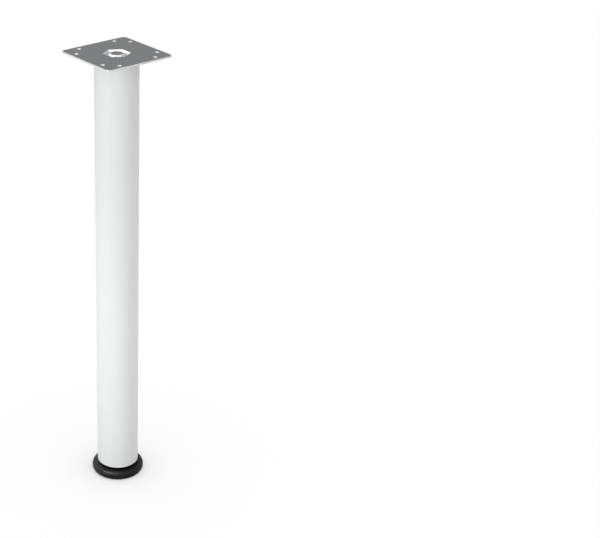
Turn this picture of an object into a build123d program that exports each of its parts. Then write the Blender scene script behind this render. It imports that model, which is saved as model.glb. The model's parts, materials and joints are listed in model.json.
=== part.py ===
from build123d import *
import os

# A round table leg with a screw-on top plate and a screw-adjusted foot, in millimetres.
# It stands on the floor at Z 0 with the foot screwed fully in, +Z up, plate sides along X and Y.

# Overall
overall_h = 683.3           # floor to the plate's top face

# Mounting plate, pressed from sheet
plate_side = 111.4
plate_t = 2.5
plate_corner_r = 7.0
plate_edge_break = 0.3
screw_hole_d = 5.3
hole_to_near_edge = 9.0     # screw hole's centre to the plate edge beside it
hole_to_far_edge = 25.1     # the same centre to the edge round the corner
pocket_af = 33.5            # hexagonal pocket across flats, at the plate's face
pocket_corner_r = 2.0
pocket_lip = 0.6            # bevel where the sheet turns down into the pocket

# Centre bolt
bolt_d = 12.0
bolt_l = 32.0               # under the head
bolt_af = 19.0
bolt_head_h = 7.5
bolt_crown_d = 18.2         # flat left by the chamfer on the head
bolt_sink = 0.3             # head below the plate's face

# Leg tube
tube_d = 63.5
tube_wall = 1.5
tube_edge_break = 0.4

# Top insert, die-cast
top_insert_l = 34.0
top_insert_wall = 2.5
top_insert_floor = 6.0      # under the hexagonal socket
top_hub_d = 24.0
top_rib_t = 2.5
top_rib_count = 6
top_insert_drop = 1.0       # below the tube's end, so that the plate seats on the tube

# Bottom insert, moulded
bottom_insert_l = 30.0
bottom_insert_wall = 2.0
bottom_insert_floor = 4.0
bottom_hub_d = 27.0
bottom_rib_t = 2.0
bottom_rib_count = 6

# Spindle and its nut
spindle_d = 10.0
spindle_l = 58.0            # above its head
spindle_head_d = 18.0
spindle_head_h = 5.0
spindle_head_z = 3.0        # the head's underside above the floor
nut_af = 17.0
nut_h = 8.0
nut_sink = 0.5              # above the tube's lower end

# Foot, moulded
foot_h = 17.5               # floor to the neck's top, where the tube starts
foot_d = 80.3
foot_rim_h = 11.5           # floor to the top of the wide rim
foot_shoulder_r = 4.9
foot_taper = 1.6            # the side draws in by this at the floor
foot_taper_h = 3.0          # height at which the side is full
foot_neck_d = 44.0
foot_wall = 3.0
foot_hub_d = 26.0
foot_rib_t = 2.5
foot_rib_count = 8
foot_rib_relief = 0.6       # ribs and hub stay off the floor

# Clearances, per side
socket_clear = 0.3          # plate's pocket in the top insert
bolt_hole_clear = 0.3
thread_clear = 0.1
insert_clear = 0.05         # inserts in the tube
nut_clear = 0.1
mould_clear = 0.1           # foot round the spindle's head

# Levels and radii that follow
plate_back_z = overall_h - plate_t
pocket_depth = bolt_head_h + bolt_sink
pocket_floor_z = overall_h - pocket_depth
pocket_under_z = pocket_floor_z - plate_t
bolt_head_top_z = overall_h - bolt_sink
tube_bottom_z = foot_h
tube_inner_r = tube_d / 2 - tube_wall
insert_r = tube_inner_r - insert_clear
top_insert_z = plate_back_z - top_insert_drop
socket_floor_z = pocket_under_z - socket_clear
spindle_shank_z = spindle_head_z + spindle_head_h
nut_z = tube_bottom_z + nut_sink
hexagon_turn = 30           # corners on the Y axis

os.makedirs("parts", exist_ok=True)


def hexagon(across_flats):
    """Draws a hexagon with its corners on the Y axis in the open sketch."""
    return RegularPolygon(across_flats / 2, 6, major_radius=False, rotation=hexagon_turn)


def plate_levels():
    """Returns the plate's level faces from the pocket's underside up to the plate's top."""
    return mounting_plate.faces().filter_by(Axis.Z).sort_by(Axis.Z)


# Mounting plate: the sheet, then the pocket drawn down out of it, then the screw holes
with BuildPart() as mounting_plate:
    with BuildSketch(Plane.XY.offset(plate_back_z)):
        RectangleRounded(plate_side, plate_side, plate_corner_r)
    extrude(amount=plate_t)
    with BuildSketch(Plane.XY.offset(overall_h)) as boss_outline:
        hexagon(pocket_af + 2 * plate_t)
        fillet(boss_outline.vertices(), pocket_corner_r + plate_t)
    extrude(amount=-(pocket_depth + plate_t))
    with BuildSketch(Plane.XY.offset(overall_h)) as pocket_outline:
        hexagon(pocket_af)
        fillet(pocket_outline.vertices(), pocket_corner_r)
    extrude(amount=-pocket_depth, mode=Mode.SUBTRACT)
    chamfer(plate_levels()[3].inner_wires()[0].edges(), pocket_lip)
    chamfer(plate_levels()[1].outer_wire().edges(), pocket_lip)
    chamfer(plate_levels()[3].outer_wire().edges(), plate_edge_break)
    chamfer(plate_levels()[2].outer_wire().edges(), plate_edge_break)
    hole_near = plate_side / 2 - hole_to_near_edge
    hole_far = plate_side / 2 - hole_to_far_edge
    with BuildSketch(Plane.XY.offset(overall_h)):
        with GridLocations(2 * hole_near, 2 * hole_far, 2, 2):
            Circle(screw_hole_d / 2)
        with GridLocations(2 * hole_far, 2 * hole_near, 2, 2):
            Circle(screw_hole_d / 2)
        Circle(bolt_d / 2 + bolt_hole_clear)
    extrude(amount=-(pocket_depth + plate_t), mode=Mode.SUBTRACT)
mounting_plate.part.label = "mounting_plate"
export_step(mounting_plate.part, "parts/mounting_plate.step")

# Centre bolt: hexagon head with a turned chamfer, plain shank
with BuildPart() as centre_bolt:
    with BuildSketch(Plane.XY.offset(pocket_floor_z)):
        hexagon(bolt_af)
    extrude(amount=bolt_head_h)
    corner_r = bolt_af / 3 ** 0.5
    crown_drop = (corner_r - bolt_crown_d / 2) / 3 ** 0.5
    with BuildSketch(Plane.XZ):
        with BuildLine():
            Polyline(
                (0, pocket_floor_z),
                (corner_r, pocket_floor_z),
                (corner_r, bolt_head_top_z - crown_drop),
                (bolt_crown_d / 2, bolt_head_top_z),
                (0, bolt_head_top_z),
                close=True,
            )
        make_face()
    revolve(axis=Axis.Z, mode=Mode.INTERSECT)
    with BuildSketch(Plane.XY.offset(pocket_floor_z)):
        Circle(bolt_d / 2)
    extrude(amount=-bolt_l)
centre_bolt.part.label = "centre_bolt"
export_step(centre_bolt.part, "parts/centre_bolt.step")

# Leg tube
with BuildPart() as leg_tube:
    with BuildSketch(Plane.XY.offset(tube_bottom_z)):
        Circle(tube_d / 2)
        Circle(tube_inner_r, mode=Mode.SUBTRACT)
    extrude(amount=plate_back_z - tube_bottom_z)
    tube_ends = leg_tube.faces().filter_by(Axis.Z)
    chamfer(tube_ends.sort_by(Axis.Z)[-1].outer_wire().edges(), tube_edge_break)
    chamfer(tube_ends.sort_by(Axis.Z)[0].outer_wire().edges(), tube_edge_break)
leg_tube.part.label = "leg_tube"
export_step(leg_tube.part, "parts/leg_tube.step")

# Top insert: socket for the plate's pocket above, ribbed hub for the bolt below
with BuildPart() as top_insert:
    with BuildSketch(Plane.XY.offset(top_insert_z)):
        Circle(insert_r)
    extrude(amount=-top_insert_l)
    top_insert_end_z = top_insert_z - top_insert_l
    with BuildSketch(Plane.XY.offset(top_insert_end_z)):
        Circle(insert_r - top_insert_wall)
        Circle(top_hub_d / 2, mode=Mode.SUBTRACT)
        with PolarLocations(0, top_rib_count):
            Rectangle(insert_r, top_rib_t, align=(Align.MIN, Align.CENTER), mode=Mode.SUBTRACT)
    extrude(amount=socket_floor_z - top_insert_floor - top_insert_end_z, mode=Mode.SUBTRACT)
    with BuildSketch(Plane.XY.offset(top_insert_z)) as socket_outline:
        hexagon(pocket_af + 2 * plate_t + 2 * socket_clear)
        fillet(socket_outline.vertices(), pocket_corner_r + plate_t)
    extrude(amount=socket_floor_z - top_insert_z, mode=Mode.SUBTRACT)
    with BuildSketch(Plane.XY.offset(top_insert_z)):
        Circle(bolt_d / 2 + thread_clear)
    extrude(amount=-top_insert_l, mode=Mode.SUBTRACT)
top_insert.part.label = "top_insert"
export_step(top_insert.part, "parts/top_insert.step")

# Bottom insert: floor flush with the tube's end, ribbed hub with the nut's pocket
with BuildPart() as bottom_insert:
    with BuildSketch(Plane.XY.offset(tube_bottom_z)):
        Circle(insert_r)
    extrude(amount=bottom_insert_l)
    with BuildSketch(Plane.XY.offset(tube_bottom_z + bottom_insert_floor)):
        Circle(insert_r - bottom_insert_wall)
        Circle(bottom_hub_d / 2, mode=Mode.SUBTRACT)
        with PolarLocations(0, bottom_rib_count):
            Rectangle(insert_r, bottom_rib_t, align=(Align.MIN, Align.CENTER), mode=Mode.SUBTRACT)
    extrude(amount=bottom_insert_l - bottom_insert_floor, mode=Mode.SUBTRACT)
    with BuildSketch(Plane.XY.offset(tube_bottom_z)):
        hexagon(nut_af + 2 * nut_clear)
    extrude(amount=nut_sink + nut_h, mode=Mode.SUBTRACT)
    with BuildSketch(Plane.XY.offset(tube_bottom_z)):
        Circle(spindle_d / 2 + bolt_hole_clear)
    extrude(amount=bottom_insert_l, mode=Mode.SUBTRACT)
bottom_insert.part.label = "bottom_insert"
export_step(bottom_insert.part, "parts/bottom_insert.step")

# Spindle nut
with BuildPart() as spindle_nut:
    with BuildSketch(Plane.XY.offset(nut_z)):
        hexagon(nut_af)
        Circle(spindle_d / 2 + thread_clear, mode=Mode.SUBTRACT)
    extrude(amount=nut_h)
spindle_nut.part.label = "spindle_nut"
export_step(spindle_nut.part, "parts/spindle_nut.step")

# Foot spindle: round head inside the foot, plain shank up through the nut
with BuildPart() as foot_spindle:
    with BuildSketch(Plane.XY.offset(spindle_head_z)):
        Circle(spindle_head_d / 2)
    extrude(amount=spindle_head_h)
    with BuildSketch(Plane.XY.offset(spindle_shank_z)):
        Circle(spindle_d / 2)
    extrude(amount=spindle_l)
foot_spindle.part.label = "foot_spindle"
export_step(foot_spindle.part, "parts/foot_spindle.step")

# Foot: turned outer form, hollow below with ribs, closed round the spindle's head
with BuildPart() as foot:
    with BuildSketch(Plane.XZ) as foot_profile:
        with BuildLine():
            Polyline(
                (0, 0),
                (foot_d / 2 - foot_taper, 0),
                (foot_d / 2, foot_taper_h),
                (foot_d / 2, foot_rim_h),
                (foot_neck_d / 2, foot_rim_h),
                (foot_neck_d / 2, foot_h),
                (0, foot_h),
                close=True,
            )
        make_face()
        fillet(foot_profile.vertices().group_by(Axis.X)[-1].sort_by(Axis.Y)[-1], foot_shoulder_r)
    revolve(axis=Axis.Z)
    under_r = foot_d / 2 - foot_wall
    neck_inner_r = foot_neck_d / 2 - foot_wall
    with BuildSketch(Plane.XY):
        Circle(under_r)
        Circle(foot_hub_d / 2, mode=Mode.SUBTRACT)
        with PolarLocations(0, foot_rib_count):
            Rectangle(foot_d, foot_rib_t, align=(Align.MIN, Align.CENTER), mode=Mode.SUBTRACT)
    extrude(amount=foot_rim_h - foot_wall, mode=Mode.SUBTRACT)
    with BuildSketch(Plane.XY):
        Circle(neck_inner_r)
        Circle(foot_hub_d / 2, mode=Mode.SUBTRACT)
        with PolarLocations(0, foot_rib_count):
            Rectangle(foot_d, foot_rib_t, align=(Align.MIN, Align.CENTER), mode=Mode.SUBTRACT)
    extrude(amount=foot_h - foot_wall, mode=Mode.SUBTRACT)
    with BuildSketch(Plane.XY):
        Circle(under_r)
    extrude(amount=foot_rib_relief, mode=Mode.SUBTRACT)
    with BuildSketch(Plane.XY.offset(spindle_head_z)):
        Circle(spindle_head_d / 2 + mould_clear)
    extrude(amount=spindle_head_h, mode=Mode.SUBTRACT)
    with BuildSketch(Plane.XY.offset(spindle_head_z)):
        Circle(spindle_d / 2 + mould_clear)
    extrude(amount=foot_h - spindle_head_z, mode=Mode.SUBTRACT)
foot.part.label = "foot"
export_step(foot.part, "parts/foot.step")
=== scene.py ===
import bmesh
import bpy
import json
from math import ceil, cos, pi, radians, sin, tan
from mathutils import Matrix, Vector


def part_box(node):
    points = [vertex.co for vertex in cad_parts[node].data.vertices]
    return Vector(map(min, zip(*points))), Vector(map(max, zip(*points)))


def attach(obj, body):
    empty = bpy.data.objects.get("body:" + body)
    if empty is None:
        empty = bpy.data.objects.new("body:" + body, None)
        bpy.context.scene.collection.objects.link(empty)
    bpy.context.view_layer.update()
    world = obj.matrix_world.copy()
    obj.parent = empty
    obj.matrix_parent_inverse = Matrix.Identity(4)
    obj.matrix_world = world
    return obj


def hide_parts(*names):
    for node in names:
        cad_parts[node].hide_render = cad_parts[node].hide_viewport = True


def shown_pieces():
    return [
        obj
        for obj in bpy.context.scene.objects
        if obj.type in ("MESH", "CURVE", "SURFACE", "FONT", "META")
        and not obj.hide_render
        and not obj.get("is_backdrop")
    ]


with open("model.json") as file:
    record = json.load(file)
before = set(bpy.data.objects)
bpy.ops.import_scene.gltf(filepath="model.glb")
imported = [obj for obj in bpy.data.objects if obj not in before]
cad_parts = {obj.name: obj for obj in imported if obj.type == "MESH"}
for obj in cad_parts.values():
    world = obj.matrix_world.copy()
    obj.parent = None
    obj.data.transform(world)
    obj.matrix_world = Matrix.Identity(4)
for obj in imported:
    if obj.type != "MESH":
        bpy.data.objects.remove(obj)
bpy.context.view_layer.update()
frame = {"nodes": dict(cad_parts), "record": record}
nodes = frame["nodes"]
scene = bpy.context.scene
scene.view_settings.view_transform = "Standard"

MM = 0.001


# Sizes in millimetres, the outer ones from the frame
def box_mm(node):
    """Returns a node's lowest and highest corners in millimetres, to a hundredth."""
    return [[round(value / MM, 2) for value in corner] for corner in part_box(node)]


def mount_dims(name):
    """Returns the stated dimensions of a mount."""
    return next(mount["dims"] for mount in frame["record"]["mounts"] if mount["name"] == name)


# Mounting plate
plate_low, plate_high = box_mm("mounting_plate")
screw_holes = mount_dims("screw_holes_x")
plate_half = plate_high[0]
plate_top = plate_high[2]
plate_t = 2.5
plate_back = plate_top - plate_t
plate_corner_r = 7.0
plate_roll = 0.35           # rounding of the outer edge at the top face
plate_burr = 0.2            # and at the back
hole_near = screw_holes["spacing_x_mm"] / 2
hole_far = screw_holes["spacing_y_mm"] / 2
hole_r = screw_holes["hole_r_mm"]
hole_roll = 0.3
hole_burr = 0.15
pocket_half = 16.75         # from the axis to the pocket's flats
pocket_corner_r = 2.0
pocket_under = plate_low[2]
pocket_floor = pocket_under + plate_t
pocket_roll = 0.6           # rounding where the sheet turns
pocket_draw_r = 1.6         # outside rounding round the pocket's underside
bolt_hole_r = 6.3

# Centre bolt
bolt_low, bolt_high = box_mm("centre_bolt")
bolt_af = 2 * bolt_high[0]
bolt_crown_r = 9.1
bolt_washer_r = 9.2
bolt_washer_t = 0.4
bolt_r = 6.0
bolt_root_r = 5.0
bolt_pitch = 1.75

# Leg tube
tube_low, tube_high = box_mm("leg_tube")
tube_r = tube_high[0]
tube_wall = 1.5
tube_round = 0.4            # outer edge of the ends
tube_inner_round = 0.25

# Spindle and nut
spindle_low, spindle_high = box_mm("foot_spindle")
nut_low, nut_high = box_mm("spindle_nut")
spindle_head_r = spindle_high[0]
spindle_head_h = 5.0
spindle_head_round = 0.4
spindle_r = 5.0
spindle_root_r = 4.1
spindle_pitch = 1.5
nut_af = 2 * nut_high[0]
nut_crown_r = 8.2
nut_bore_r = 5.1
nut_countersink = 0.5

# All remade pieces, angles in degrees
chamfer_angle = 30          # of the turned chamfer on bolt and nut
weld = 0.001                # points nearer than this become one
sharp_angle = 30            # edges bent by more than this stay sharp
screw_sharp_angle = 25      # the same on bolt, spindle and nut

# Middle stretch of a noise pattern, which holds most of its values
PATTERN_LOW = 0.3
PATTERN_HIGH = 0.7


# Node helpers
def new_material(name):
    """Returns a new material with its node tree and its main shader."""
    material = bpy.data.materials.new(name)
    material.use_nodes = True
    tree = material.node_tree
    shader = tree.nodes["Principled BSDF"]
    return material, tree, shader


def add_node(tree, kind, **values):
    """Adds a node and sets its properties, or its inputs by name."""
    node = tree.nodes.new(kind)
    for key, value in values.items():
        if key in node.inputs:
            node.inputs[key].default_value = value
        else:
            setattr(node, key, value)
    return node


def noise(tree, scale, detail=3.0, stretch=(1, 1, 1)):
    """Adds a noise pattern in the part's own coordinates, scale in features per metre."""
    place = add_node(tree, "ShaderNodeTexCoord")
    mapping = add_node(tree, "ShaderNodeMapping", Scale=stretch)
    pattern = add_node(tree, "ShaderNodeTexNoise", Scale=scale, Detail=detail)
    tree.links.new(place.outputs["Object"], mapping.inputs["Vector"])
    tree.links.new(mapping.outputs["Vector"], pattern.inputs["Vector"])
    return pattern.outputs["Fac"]


def ranged(tree, factor, start, end, low, high):
    """Turns a factor between start and end into a number between low and high."""
    node = add_node(tree, "ShaderNodeMapRange")
    node.inputs["From Min"].default_value = start
    node.inputs["From Max"].default_value = end
    node.inputs["To Min"].default_value = low
    node.inputs["To Max"].default_value = high
    tree.links.new(factor, node.inputs["Value"])
    return node.outputs["Result"]


def spread(tree, pattern, low, high):
    """Turns a pattern into a number between low and high."""
    return ranged(tree, pattern, PATTERN_LOW, PATTERN_HIGH, low, high)


def two_tone(tree, pattern, dark, light):
    """Turns a pattern into a colour between two shades."""
    ramp = add_node(tree, "ShaderNodeValToRGB")
    first, last = ramp.color_ramp.elements
    first.position = PATTERN_LOW
    first.color = (*dark, 1)
    last.position = PATTERN_HIGH
    last.color = (*light, 1)
    tree.links.new(pattern, ramp.inputs["Fac"])
    return ramp.outputs["Color"]


def bump(tree, shader, height, strength, distance):
    """Adds a bump from a pattern to a shader, distance in metres."""
    relief = add_node(tree, "ShaderNodeBump", Strength=strength, Distance=distance)
    tree.links.new(height, relief.inputs["Height"])
    tree.links.new(relief.outputs["Normal"], shader.inputs["Normal"])


# Materials
def white_coat():
    """White powder coat with a fine orange peel."""
    material, tree, shader = new_material("white_coat")
    shade = noise(tree, scale=25, detail=2)
    peel = noise(tree, scale=900, detail=2)
    colour = two_tone(tree, shade, dark=(0.845, 0.862, 0.852), light=(0.862, 0.879, 0.869))
    tree.links.new(colour, shader.inputs["Base Color"])
    tree.links.new(spread(tree, peel, low=0.44, high=0.52), shader.inputs["Roughness"])
    shader.inputs["Specular IOR Level"].default_value = 0.12
    bump(tree, shader, peel, strength=0.12, distance=0.0002)
    return material


def zinc_sheet_painted_shade():
    """Zinc on rolled sheet, its colour painted dark as shade for the plate's top and the bolt's crown: soft
    mottling and fine rolling lines.
    """
    material, tree, shader = new_material("zinc_sheet_painted_shade")
    mottle = noise(tree, scale=140, detail=4)
    grain = noise(tree, scale=60, stretch=(1, 30, 1))
    colour = two_tone(tree, mottle, dark=(0.138, 0.141, 0.145), light=(0.149, 0.152, 0.156))
    tree.links.new(colour, shader.inputs["Base Color"])
    tree.links.new(spread(tree, grain, low=0.38, high=0.5), shader.inputs["Roughness"])
    shader.inputs["Metallic"].default_value = 1.0
    bump(tree, shader, grain, strength=0.05, distance=0.0001)
    return material


def bright_zinc(name, shade=0.62, metallic=1.0):
    """Bright zinc on turned steel, and copies with painted light for the pressed and punched faces."""
    material, tree, shader = new_material(name)
    mottle = noise(tree, scale=300)
    light = shade + 0.06
    blue = 0.01
    colour = two_tone(tree, mottle, dark=(shade, shade, shade + blue), light=(light, light, light + blue))
    tree.links.new(colour, shader.inputs["Base Color"])
    tree.links.new(spread(tree, mottle, low=0.3, high=0.42), shader.inputs["Roughness"])
    shader.inputs["Metallic"].default_value = metallic
    return material


def cast_metal():
    """Grainy die-cast metal."""
    material, tree, shader = new_material("cast_metal")
    grain = noise(tree, scale=1500)
    colour = two_tone(tree, grain, dark=(0.52, 0.53, 0.54), light=(0.6, 0.61, 0.62))
    tree.links.new(colour, shader.inputs["Base Color"])
    tree.links.new(spread(tree, grain, low=0.45, high=0.6), shader.inputs["Roughness"])
    shader.inputs["Metallic"].default_value = 1.0
    bump(tree, shader, grain, strength=0.2, distance=0.0001)
    return material


def black_plastic(name):
    """Black moulded plastic with a fine matt texture."""
    material, tree, shader = new_material(name)
    cloud = noise(tree, scale=60, detail=2)
    grain = noise(tree, scale=2500, detail=2)
    colour = two_tone(tree, cloud, dark=(0.0105, 0.0105, 0.0108), light=(0.013, 0.013, 0.0133))
    tree.links.new(colour, shader.inputs["Base Color"])
    tree.links.new(spread(tree, grain, low=0.24, high=0.32), shader.inputs["Roughness"])
    shader.inputs["Specular IOR Level"].default_value = 0.1
    bump(tree, shader, grain, strength=0.15, distance=0.0001)
    return material


coat = white_coat()
# Copies of one zinc with light and shade painted into their colour: dark as painted shade for the plate's
# top and the bolt's crown, painted light for the pocket walls and bolt flanks, painted half-light for the
# outer edges and back, painted light for the screw holes; only the last one below is the spindle's and
# nut's own bright zinc
sheet = zinc_sheet_painted_shade()
painted_light_zinc = bright_zinc("zinc_painted_light", shade=0.7, metallic=0.1)
edge = bright_zinc("zinc_painted_half_light", shade=0.41, metallic=0.4)
punched = bright_zinc("zinc_holes_painted_light", shade=0.53, metallic=0.25)
steel = bright_zinc("bright_zinc")

# Places of the plate's and the bolt's materials in their meshes: one zinc in painted shade, painted light,
# painted half-light and painted light for the holes
PAINTED_SHADE_ZINC, PAINTED_LIGHT_ZINC, PAINTED_HALF_LIGHT_ZINC, HOLES_PAINTED_LIGHT_ZINC = range(4)

# Solids that show as they are
finishes = {
    "top_insert": cast_metal(),
    "bottom_insert": black_plastic("insert_moulding"),
    "foot": black_plastic("foot_moulding"),
}
for name, material in finishes.items():
    nodes[name].data.materials.clear()
    nodes[name].data.materials.append(material)


# Outlines and profiles, in millimetres
def rounded_polygon(sides, inradius, radius, first, arc_steps):
    """Returns a regular polygon's outline with rounded corners, the first corner at an angle in degrees."""
    reach = (inradius - radius) / cos(pi / sides)
    points = []
    for corner in range(sides):
        middle = radians(first) + 2 * pi * corner / sides
        for step in range(arc_steps + 1):
            angle = middle + (step / arc_steps - 0.5) * 2 * pi / sides
            x = reach * cos(middle) + radius * cos(angle)
            y = reach * sin(middle) + radius * sin(angle)
            points.append((x, y))
    return points


def circle(radius, count, centre=(0, 0)):
    """Returns a circle's outline."""
    angles = [2 * pi * i / count for i in range(count)]
    return [(centre[0] + radius * cos(angle), centre[1] + radius * sin(angle)) for angle in angles]


def hexagon(across_flats, count):
    """Returns a hexagon's outline as points at even angles, corners on the Y axis."""
    points = []
    for i in range(count):
        angle = 360 * i / count
        reach = across_flats / 2 / cos(radians((angle + 30) % 60 - 30))
        points.append((reach * cos(radians(angle)), reach * sin(radians(angle))))
    return points


def arc(centre, radius, start, end, steps):
    """Returns points on an arc, angles in degrees."""
    points = []
    for i in range(steps + 1):
        angle = radians(start + (end - start) * i / steps)
        points.append((centre[0] + radius * cos(angle), centre[1] + radius * sin(angle)))
    return points


# Mesh helpers, in millimetres
def ring(bm, outline, z):
    """Adds one closed row of points at a level."""
    return [bm.verts.new((x * MM, y * MM, z * MM)) for x, y in outline]


def skin(bm, rows, material=0):
    """Joins closed rows of points, one after the other, with quads."""
    for low, high in zip(rows, rows[1:]):
        for i in range(len(low)):
            j = (i + 1) % len(low)
            bm.faces.new((low[i], low[j], high[j], high[i])).material_index = material


def fill(bm, rows, material=0):
    """Closes a level face between its outer row and the rows round its holes."""
    borders = []
    for row in rows:
        for i, vert in enumerate(row):
            pair = (vert, row[i - 1])
            borders.append(bm.edges.get(pair) or bm.edges.new(pair))
    made = bmesh.ops.triangle_fill(bm, use_beauty=True, edges=borders)
    for face in made["geom"]:
        if isinstance(face, bmesh.types.BMFace):
            face.material_index = material


def lathe(bm, profile, count, closed=False):
    """Turns a profile of radius and level about the leg's axis."""
    rows = [ring(bm, circle(radius, count), z) for radius, z in profile]
    if closed:
        rows.append(rows[0])
    skin(bm, rows)
    return rows


def chamfered_end(bm, across_flats, crown_r, level, down, count, material=0):
    """Adds a hexagon's turned chamfer and returns its rows at the crown and at the flats.

    The flats run down from the level where down is 1, and up from it where down is -1.
    """
    crown = ring(bm, circle(crown_r, count), level)
    brim = []
    for x, y in hexagon(across_flats, count):
        drop = (Vector((x, y)).length - crown_r) * tan(radians(chamfer_angle))
        brim.append(bm.verts.new((x * MM, y * MM, (level - down * drop) * MM)))
    skin(bm, [crown, brim], material)
    return crown, brim


def thread(bm, major, minor, pitch, low, high, count, material=0):
    """Adds a right-hand screw thread with chamfered ends and returns the rows round its two ends."""
    # Root and crest flats of one turn, as shares of the pitch
    form = ((0.0, minor), (0.25, minor), (0.5625, major), (0.6875, major))
    turn = len(form)
    rows = []
    for lead in range(-1, ceil((high - low) / pitch) + 1):
        for share, radius in form:
            row = []
            for i in range(count):
                z = low + (lead + share + i / count) * pitch
                z = min(max(z, low), high)
                reach = min(radius, minor + min(z - low, high - z))
                angle = 2 * pi * i / count
                row.append(bm.verts.new((reach * cos(angle) * MM, reach * sin(angle) * MM, z * MM)))
            rows.append(row)
    for j in range(len(rows) - 1):
        for i in range(count):
            if i + 1 < count:
                corners = (rows[j][i], rows[j][i + 1], rows[j + 1][i + 1], rows[j + 1][i])
            elif j + turn + 1 < len(rows):
                corners = (rows[j][i], rows[j + turn][0], rows[j + turn + 1][0], rows[j + 1][i])
            else:
                continue
            levels = [vert.co.z for vert in corners]
            if max(levels) - min(levels) > weld * MM:
                bm.faces.new(corners).material_index = material
    return ring(bm, circle(minor, count), low), ring(bm, circle(minor, count), high)


def finish_piece(bm, name, materials, node, body, crease=sharp_angle):
    """Makes the mesh a piece that stands for a CAD node."""
    bmesh.ops.remove_doubles(bm, verts=bm.verts[:], dist=weld * MM)
    bmesh.ops.recalc_face_normals(bm, faces=bm.faces[:])
    mesh = bpy.data.meshes.new(name)
    bm.to_mesh(mesh)
    bm.free()
    mesh.shade_smooth()
    mesh.set_sharp_from_angle(angle=radians(crease))
    for material in materials:
        mesh.materials.append(material)
    piece = bpy.data.objects.new(name, mesh)
    scene.collection.objects.link(piece)
    weighted = piece.modifiers.new("even_shading", "WEIGHTED_NORMAL")
    weighted.keep_sharp = True
    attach(piece, body)
    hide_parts(node)
    return piece


# Mounting plate: punched sheet with the pocket pressed down out of it
def pressed_plate():
    """Builds the plate with rolled edges, screw holes and the hexagonal pocket."""
    bm = bmesh.new()

    def wall(outline, roll, burr, material):
        """Adds an edge from the top face to the back; the outline takes an offset into the metal."""
        profile = arc((roll, plate_top - roll), roll, 90, 180, steps=4)
        profile += arc((burr, plate_back + burr), burr, 180, 270, steps=3)
        rows = [ring(bm, outline(offset), z) for offset, z in profile]
        skin(bm, rows, material)
        return rows[0], rows[-1]

    def outer_edge(offset):
        """Returns the plate's outline, drawn in by an offset."""
        return rounded_polygon(4, plate_half - offset, plate_corner_r - offset, first=45, arc_steps=14)

    def hole_edge(centre):
        """Returns a screw hole's outline as a function of an offset that widens it."""
        return lambda offset: circle(hole_r + offset, count=28, centre=centre)

    def pocket(profile):
        """Adds the rows of one side of the pocket, from a profile of half widths and levels."""
        rows = []
        for half, z in profile:
            corner_r = half - pocket_half + pocket_corner_r
            rows.append(ring(bm, rounded_polygon(6, half, corner_r, first=90, arc_steps=8), z))
        return rows

    # Painted light: the outer edge and back take a half-lit copy of the zinc, the screw holes' walls a
    # light one
    walls = [wall(outer_edge, plate_roll, plate_burr, PAINTED_HALF_LIGHT_ZINC)]
    for x, y in ((hole_near, hole_far), (hole_far, hole_near)):
        for centre in ((x, y), (-x, y), (-x, -y), (x, -y)):
            walls.append(wall(hole_edge(centre), hole_roll, hole_burr, HOLES_PAINTED_LIGHT_ZINC))

    lip = arc((pocket_half + pocket_roll, plate_top - pocket_roll), pocket_roll, 90, 180, steps=4)
    corner = arc((pocket_half - pocket_roll, pocket_floor + pocket_roll), pocket_roll, 0, -90, steps=4)
    inner = pocket(lip + corner)
    lip_middle = len(lip) // 2
    # Painted shade on the lip's upper half, painted light below it down the pocket walls
    skin(bm, inner[:lip_middle + 1], PAINTED_SHADE_ZINC)
    skin(bm, inner[lip_middle:], PAINTED_LIGHT_ZINC)
    outer_half = pocket_half + plate_t
    draw = arc((outer_half - pocket_draw_r, pocket_under + pocket_draw_r), pocket_draw_r, -90, 0, steps=4)
    turn = arc((outer_half + pocket_roll, plate_back - pocket_roll), pocket_roll, 180, 90, steps=4)
    outer = pocket(draw + turn)
    # Painted light on the pocket's outside and the bolt hole
    skin(bm, outer, PAINTED_LIGHT_ZINC)
    bolt_hole = [ring(bm, circle(bolt_hole_r, count=40), z) for z in (pocket_floor, pocket_under)]
    skin(bm, bolt_hole, PAINTED_LIGHT_ZINC)

    # Painted light on the pocket floor, painted shade on its underside and on the plate's top, painted
    # half-light on the back
    fill(bm, [inner[-1], bolt_hole[0]], PAINTED_LIGHT_ZINC)
    fill(bm, [outer[0], bolt_hole[1]], PAINTED_SHADE_ZINC)
    fill(bm, [top for top, back in walls] + [inner[0]], PAINTED_SHADE_ZINC)
    fill(bm, [back for top, back in walls] + [outer[-1]], PAINTED_HALF_LIGHT_ZINC)
    materials = [sheet, painted_light_zinc, edge, punched]
    return finish_piece(bm, "plate_pressed", materials, "mounting_plate", "leg")


# Centre bolt: hexagon head with a turned chamfer, washer face and threaded shank
def hexagon_bolt():
    """Builds the bolt, its crown in the plate top's painted shade and the rest in painted light."""
    bm = bmesh.new()
    count = 72
    shank_low = bolt_low[2]
    head_low = pocket_floor + bolt_washer_t
    head_top = bolt_high[2]
    # Painted shade on the crown, painted light on the chamfer, flanks, washer face and thread
    crown, brim = chamfered_end(bm, bolt_af, bolt_crown_r, head_top, 1, count, PAINTED_LIGHT_ZINC)
    bm.faces.new(crown).material_index = PAINTED_SHADE_ZINC
    flats_end = ring(bm, hexagon(bolt_af, count), head_low)
    washer = [ring(bm, circle(bolt_washer_r, count), z) for z in (head_low, pocket_floor)]
    skin(bm, [brim, flats_end] + washer, PAINTED_LIGHT_ZINC)
    tip, root = thread(bm, bolt_r, bolt_root_r, bolt_pitch, shank_low, pocket_floor, 48, PAINTED_LIGHT_ZINC)
    fill(bm, [washer[1], root], PAINTED_LIGHT_ZINC)
    bm.faces.new(tip).material_index = PAINTED_LIGHT_ZINC
    return finish_piece(
        bm, "bolt_threaded", [sheet, painted_light_zinc], "centre_bolt", "leg", screw_sharp_angle
    )


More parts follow.
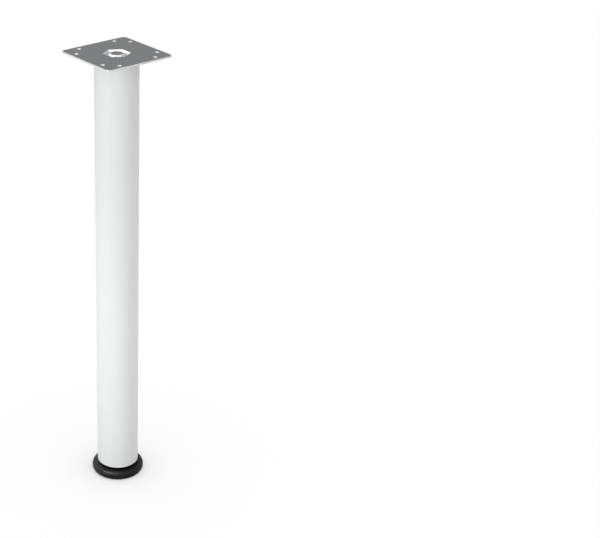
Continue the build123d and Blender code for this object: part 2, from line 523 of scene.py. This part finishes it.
# Leg tube: rounded ends
def coated_tube():
    """Builds the tube."""
    bm = bmesh.new()
    low, high = tube_low[2], tube_high[2]
    outer = tube_r - tube_round
    inner = tube_r - tube_wall + tube_inner_round
    profile = arc((outer, low + tube_round), tube_round, -90, 0, steps=4)
    profile += arc((outer, high - tube_round), tube_round, 0, 90, steps=4)
    profile += arc((inner, high - tube_inner_round), tube_inner_round, 90, 180, steps=3)
    profile += arc((inner, low + tube_inner_round), tube_inner_round, 180, 270, steps=3)
    lathe(bm, profile, count=144, closed=True)
    return finish_piece(bm, "tube_coated", [coat], "leg_tube", "leg")


# Foot spindle: moulded-in head and threaded shank
def threaded_spindle():
    """Builds the spindle."""
    bm = bmesh.new()
    head_low = spindle_low[2]
    head_top = head_low + spindle_head_h
    inner = spindle_head_r - spindle_head_round
    profile = arc((inner, head_low + spindle_head_round), spindle_head_round, -90, 0, steps=3)
    profile += arc((inner, head_top - spindle_head_round), spindle_head_round, 0, 90, steps=3)
    head = lathe(bm, profile, count=64)
    root, tip = thread(bm, spindle_r, spindle_root_r, spindle_pitch, head_top, spindle_high[2], count=48)
    bm.faces.new(head[0])
    fill(bm, [head[-1], root])
    bm.faces.new(tip)
    return finish_piece(
        bm, "spindle_threaded", [steel], "foot_spindle", "spindle", screw_sharp_angle
    )


# Spindle nut: both faces chamfered, bore countersunk
def hexagon_nut():
    """Builds the nut."""
    bm = bmesh.new()
    count = 72
    low, high = nut_low[2], nut_high[2]
    low_crown, low_brim = chamfered_end(bm, nut_af, nut_crown_r, low, -1, count)
    high_crown, high_brim = chamfered_end(bm, nut_af, nut_crown_r, high, 1, count)
    skin(bm, [low_brim, high_brim])
    mouth_r = nut_bore_r + nut_countersink
    profile = (
        (mouth_r, low),
        (nut_bore_r, low + nut_countersink),
        (nut_bore_r, high - nut_countersink),
        (mouth_r, high),
    )
    bore = lathe(bm, profile, count=48)
    fill(bm, [low_crown, bore[0]])
    fill(bm, [high_crown, bore[-1]])
    return finish_piece(bm, "nut_chamfered", [steel], "spindle_nut", "leg", screw_sharp_angle)


plate = pressed_plate()
bolt = hexagon_bolt()
tube = coated_tube()
threaded_spindle()
hexagon_nut()


# White for the eye, plainer for the light between surfaces
def seen_directly(tree):
    """Returns 1 for rays that the eye follows, straight or in a reflection, and 0 for the others."""
    path = add_node(tree, "ShaderNodeLightPath")
    first = add_node(tree, "ShaderNodeMath", operation="MAXIMUM")
    second = add_node(tree, "ShaderNodeMath", operation="MAXIMUM")
    tree.links.new(path.outputs["Is Camera Ray"], first.inputs[0])
    tree.links.new(path.outputs["Is Glossy Ray"], first.inputs[1])
    tree.links.new(first.outputs[0], second.inputs[0])
    tree.links.new(path.outputs["Is Transmission Ray"], second.inputs[1])
    return second.outputs[0]


def show(tree, for_light, for_eye, output):
    """Joins two shaders to the output, one for the light between surfaces and one for the eye."""
    choice = add_node(tree, "ShaderNodeMixShader")
    tree.links.new(seen_directly(tree), choice.inputs["Fac"])
    tree.links.new(for_light.outputs[0], choice.inputs[1])
    tree.links.new(for_eye.outputs[0], choice.inputs[2])
    tree.links.new(choice.outputs[0], output.inputs["Surface"])


# Floor, in metres: white with the leg's soft shadow painted in from the occlusion; it goes with the
# spindle, so the foot stands on it
floor_side = 24
floor_gap = 0.0002          # below the foot
shadow_reach = 0.35


def floor_material():
    """Pale floor that is white for the eye where it is open, with a painted shadow near the leg: its glow
    and its colour darken with the occlusion.
    """
    material = bpy.data.materials.new("floor")
    material.use_nodes = True
    tree = material.node_tree
    tree.nodes.clear()
    near = add_node(tree, "ShaderNodeAmbientOcclusion", samples=16, Distance=shadow_reach)
    openness = near.outputs["AO"]
    plain = add_node(tree, "ShaderNodeBsdfDiffuse")
    shadowed = add_node(tree, "ShaderNodeBsdfDiffuse", Color=(0.5, 0.5, 0.5, 1))
    glow = add_node(tree, "ShaderNodeEmission", Color=(1, 1, 1, 1))
    both = add_node(tree, "ShaderNodeAddShader")
    # Painted shade: the floor's colour for the light it passes on darkens near the leg
    painted_shade_colour = ranged(tree, openness, start=0.5, end=1, low=0, high=0.8)
    # Painted shadow: the glow the eye sees dims near the leg
    level = ranged(tree, openness, start=0, end=1, low=0.28, high=0.71)
    tree.links.new(painted_shade_colour, plain.inputs["Color"])
    tree.links.new(level, glow.inputs["Strength"])
    tree.links.new(shadowed.outputs[0], both.inputs[0])
    tree.links.new(glow.outputs[0], both.inputs[1])
    show(tree, plain, both, add_node(tree, "ShaderNodeOutputMaterial"))
    return material


bpy.ops.mesh.primitive_plane_add(size=floor_side, location=(0, 0, -floor_gap))
floor = bpy.context.object
floor.name = "floor"
floor.data.materials.append(floor_material())
floor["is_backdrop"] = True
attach(floor, "spindle")

# World: white to the eye, plain soft light on the object
world = bpy.data.worlds.new("studio")
scene.world = world
world.use_nodes = True
world.node_tree.nodes.clear()
room = add_node(world.node_tree, "ShaderNodeBackground", Color=(1, 1, 1, 1), Strength=0.6)
white = add_node(world.node_tree, "ShaderNodeBackground", Color=(1, 1, 1, 1), Strength=1.0)
show(world.node_tree, room, white, add_node(world.node_tree, "ShaderNodeOutputWorld"))

# The photograph's viewpoint: the eye in front of the leg, then both turned about the leg's axis
turn = radians(36.879)
pitch = radians(26.376)
yaw = radians(0.364)
eye = Vector((0, -1853.45, 1269.72)) * MM
ahead = Vector((sin(yaw) * cos(pitch), cos(yaw) * cos(pitch), -sin(pitch)))
right = Vector((cos(yaw), -sin(yaw), 0))
up = right.cross(ahead)
round_axis = Matrix.Rotation(-turn, 4, "Z")
axes = Matrix((right, up, -ahead)).transposed().to_4x4()
camera_data = bpy.data.cameras.new("camera")
camera_data.sensor_width = 36
camera_data.lens = 83.518
camera_data.shift_x = 0.29138
camera_data.clip_end = 100
camera = bpy.data.objects.new("camera", camera_data)
scene.collection.objects.link(camera)
camera.matrix_world = round_axis @ Matrix.Translation(eye) @ axes
scene.camera = camera


# Lamps, each on some pieces alone, so that the floor keeps an even soft shadow; in metres and watts
def lamp(name, azimuth, distance, height, size, power, aim_height, lit):
    """Adds a square soft lamp for some pieces; azimuth is to the left of the viewpoint, in degrees."""
    data = bpy.data.lights.new(name, "AREA")
    data.size = size
    data.energy = power
    item = bpy.data.objects.new(name, data)
    scene.collection.objects.link(item)
    angle = radians(azimuth)
    place = Vector((-sin(angle) * distance, -cos(angle) * distance, height))
    item.location = round_axis @ place
    aim = Vector((0, 0, aim_height)) - item.location
    item.rotation_mode = "QUATERNION"
    item.rotation_quaternion = aim.to_track_quat("-Z", "Y")
    receivers = bpy.data.collections.new("lit_by_" + name)
    for piece in lit:
        receivers.objects.link(piece)
    item.light_linking.receiver_collection = receivers


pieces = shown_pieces()
foot = nodes["foot"]
above_foot = [piece for piece in pieces if piece != foot]
lamp("key", 48, distance=0.6, height=0.26, size=0.3, power=1.72, aim_height=0.26, lit=pieces)
lamp("fill", -50, distance=0.6, height=0.24, size=0.4, power=0.78, aim_height=0.24, lit=above_foot)
lamp("collar", 24, distance=0.21, height=0.668, size=0.15, power=0.06, aim_height=0.668, lit=[tube])
lamp("top", 40, distance=1.4, height=1.3, size=0.3, power=33, aim_height=0.683, lit=[plate, bolt])
lamp("rim", -50, distance=1.0, height=0.72, size=0.3, power=3.6, aim_height=0.683, lit=[plate])
lamp("crown", 90, distance=0.5, height=1.75, size=1.1, power=70, aim_height=0, lit=[foot])
